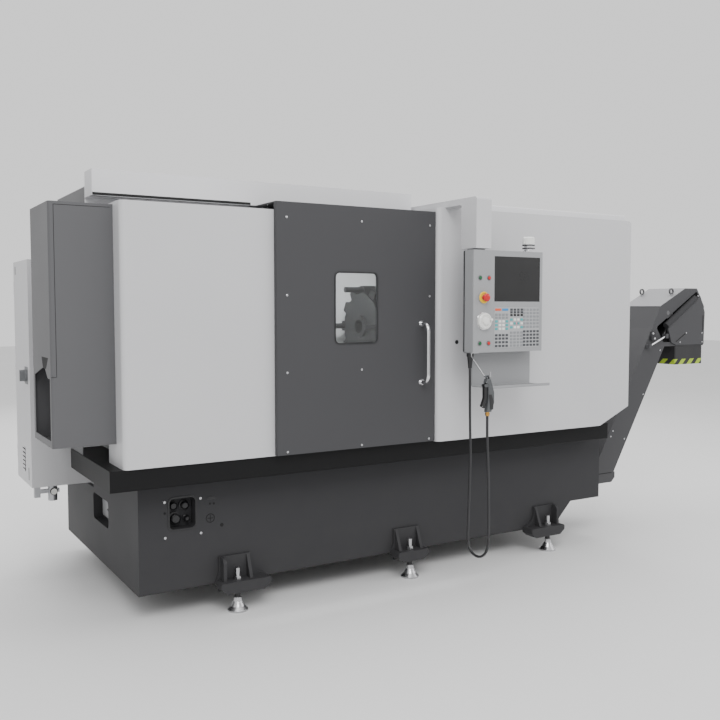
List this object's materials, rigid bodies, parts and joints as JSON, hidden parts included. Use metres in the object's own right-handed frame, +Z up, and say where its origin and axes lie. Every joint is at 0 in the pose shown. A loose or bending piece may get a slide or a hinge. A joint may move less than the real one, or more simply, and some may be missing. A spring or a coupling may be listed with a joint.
{
  "type": "cnc turning lathe",
  "caption": "Slant-bed turning lathe in a sheet-metal enclosure with sliding door, swing-out control with air gun, rear electrical cabinet and side chip conveyor.",
  "frame": {"origin": "on the floor, at the middle of the machine's length and depth", "axes": "+X along the spindle towards the chip conveyor, +Y from the operator towards the rear, +Z up"},
  "size_m": [4.588, 2.1709, 2.09],
  "materials": {
    "light_panel": "fine textured light grey powder coat",
    "charcoal_panel": "satin charcoal powder coat",
    "dark_sill": "near-black satin powder coat",
    "cast_paint": "charcoal machine enamel on a casting",
    "raw_casting": "machined and painted casting",
    "ground_steel": "ground",
    "dark_steel": "oiled",
    "chrome": "polished",
    "window_glass": "clear laminated",
    "screen_glass": "dark display",
    "grey_plastic": "moulded",
    "black_plastic": "moulded",
    "white_plastic": "moulded",
    "green_plastic": "moulded",
    "red_plastic": "moulded",
    "clear_plastic": "clear cap",
    "hose_rubber": "smooth",
    "chute_rubber": "moulded sheet",
    "aluminium": "anodised"
  },
  "bodies": {
    "frame": {"base_casting": "cast_paint", "foot_brackets": "cast_paint", "leveling_feet": "ground_steel", "slant_bed": "raw_casting", "guide_rails": "ground_steel", "headstock": "raw_casting", "enclosure_pan": "dark_sill", "left_front_panel": "light_panel", "right_front_panel": "light_panel", "roof_panel": "light_panel", "left_end_wall": "charcoal_panel", "right_end_wall": "light_panel", "rear_wall": "charcoal_panel", "end_cabinet": "charcoal_panel", "header_box": "light_panel", "pendant_arm": "light_panel", "conveyor_trough": "charcoal_panel", "conveyor_lid": "light_panel", "chip_chute": "chute_rubber", "conveyor_belt": "dark_steel", "conveyor_motor": "cast_paint", "electrical_cabinet": "light_panel", "drive_modules": "aluminium", "air_regulator": "aluminium", "coolant_pumps": "cast_paint"},
    "z_screw": {"z_ball_screw": "ground_steel"},
    "spindle": {"spindle_shaft": "ground_steel", "chuck_body": "dark_steel"},
    "jaw_1": {"chuck_jaw_1": "ground_steel"},
    "jaw_2": {"chuck_jaw_2": "ground_steel"},
    "jaw_3": {"chuck_jaw_3": "ground_steel"},
    "carriage": {"carriage": "raw_casting"},
    "cross_slide": {"turret_slide": "raw_casting"},
    "turret": {"turret_disc": "dark_steel", "tool_holders": "dark_steel"},
    "tailstock": {"tailstock_body": "raw_casting"},
    "quill": {"tailstock_quill": "ground_steel"},
    "door": {"sliding_door": "charcoal_panel", "door_window": "window_glass", "door_handle": "chrome"},
    "control": {"pendant_housing": "light_panel", "pendant_screen": "screen_glass", "pendant_keypad": "grey_plastic", "beacon_base": "chrome", "beacon_cap": "clear_plastic", "pendant_tray": "light_panel", "hose_fitting": "black_plastic", "air_hose": "hose_rubber", "air_gun": "grey_plastic"},
    "lever": {"gun_trigger": "black_plastic"},
    "power_on": {"power_on_button": "green_plastic"},
    "power_off": {"power_off_button": "red_plastic"},
    "cycle_start": {"cycle_start_button": "green_plastic"},
    "feed_hold": {"feed_hold_button": "red_plastic"},
    "emergency_stop": {"estop_button": "red_plastic"},
    "hand_wheel": {"jog_wheel": "white_plastic"},
    "drum": {"conveyor_drum": "dark_steel"},
    "isolator": {"main_switch": "black_plastic"},
    "left_cabinet_door": {"cabinet_door_left": "light_panel"},
    "right_cabinet_door": {"cabinet_door_right": "light_panel"}
  },
  "joints": [
    {"name": "door_slide", "type": "slide", "parent": "frame", "child": "door", "axis": [-1, 0, 0], "range_m": [0, 0.76]},
    {"name": "control_swing", "type": "hinge", "parent": "frame", "child": "control", "pos_m": [-0.279, -0.9035, 1.765], "axis": [0, 0, 1], "range_deg": [-90, 20]},
    {"name": "spindle_spin", "type": "hinge", "parent": "frame", "child": "spindle", "pos_m": [-1.5, -0.2645, 1.13], "axis": [1, 0, 0], "continuous": true},
    {"name": "jaw_1_grip", "type": "slide", "parent": "spindle", "child": "jaw_1", "axis": [0, 0, -1], "range_m": [0, 0.006]},
    {"name": "jaw_2_grip", "type": "slide", "parent": "spindle", "child": "jaw_2", "axis": [0, 0.866, 0.5], "range_m": [0, 0.006]},
    {"name": "jaw_3_grip", "type": "slide", "parent": "spindle", "child": "jaw_3", "axis": [0, -0.866, 0.5], "range_m": [0, 0.006]},
    {"name": "carriage_feed", "type": "slide", "parent": "frame", "child": "carriage", "axis": [1, 0, 0], "range_m": [-0.45, 0.15]},
    {"name": "cross_feed", "type": "slide", "parent": "carriage", "child": "cross_slide", "axis": [0, 0.7071, 0.7071], "range_m": [-0.06, 0.06]},
    {"name": "turret_index", "type": "hinge", "parent": "cross_slide", "child": "turret", "pos_m": [-0.4, -0.03823, 1.35627], "axis": [1, 0, 0], "continuous": true},
    {"name": "tailstock_slide", "type": "slide", "parent": "frame", "child": "tailstock", "axis": [-1, 0, 0], "range_m": [0, 0.2]},
    {"name": "quill_feed", "type": "slide", "parent": "tailstock", "child": "quill", "axis": [-1, 0, 0], "range_m": [0, 0.1]},
    {"name": "screw_spin", "type": "hinge", "parent": "frame", "child": "z_screw", "pos_m": [-0.2, -0.05732, 0.95817], "axis": [1, 0, 0], "continuous": true},
    {"name": "power_on_push", "type": "slide", "parent": "control", "child": "power_on", "axis": [0, 1, 0], "range_m": [0, 0.003], "stiffness_N_per_m": 400},
    {"name": "power_off_push", "type": "slide", "parent": "control", "child": "power_off", "axis": [0, 1, 0], "range_m": [0, 0.003], "stiffness_N_per_m": 400},
    {"name": "cycle_start_push", "type": "slide", "parent": "control", "child": "cycle_start", "axis": [0, 1, 0], "range_m": [0, 0.003], "stiffness_N_per_m": 400},
    {"name": "feed_hold_push", "type": "slide", "parent": "control", "child": "feed_hold", "axis": [0, 1, 0], "range_m": [0, 0.003], "stiffness_N_per_m": 400},
    {"name": "emergency_stop_push", "type": "slide", "parent": "control", "child": "emergency_stop", "axis": [0, 1, 0], "range_m": [0, 0.006]},
    {"name": "hand_wheel_turn", "type": "hinge", "parent": "control", "child": "hand_wheel", "pos_m": [-0.276, -0.9645, 1.399], "axis": [0, -1, 0], "continuous": true},
    {"name": "lever_squeeze", "type": "hinge", "parent": "control", "child": "lever", "pos_m": [-0.349, -1.0635, 1.084], "axis": [0, -1, 0], "range_deg": [0, 5], "stiffness_Nm_per_rad": 3},
    {"name": "drum_turn", "type": "hinge", "parent": "frame", "child": "drum", "pos_m": [1.91046, -0.3145, 1.43], "axis": [0, 1, 0], "continuous": true},
    {"name": "isolator_turn", "type": "hinge", "parent": "frame", "child": "isolator", "pos_m": [-2.225, 0.4245, 1.11], "axis": [-1, 0, 0], "range_deg": [0, 90]},
    {"name": "left_cabinet_door_swing", "type": "hinge", "parent": "frame", "child": "left_cabinet_door", "pos_m": [-2.224, 0.7525, 1.12], "axis": [0, 0, 1], "range_deg": [0, 110]},
    {"name": "right_cabinet_door_swing", "type": "hinge", "parent": "frame", "child": "right_cabinet_door", "pos_m": [-0.626, 0.7525, 1.12], "axis": [0, 0, -1], "range_deg": [0, 110]}
  ],
  "couplings": [
    {"joint": "jaw_2_grip", "follows": "jaw_1_grip", "ratio": 1},
    {"joint": "jaw_3_grip", "follows": "jaw_1_grip", "ratio": 1}
  ]
}
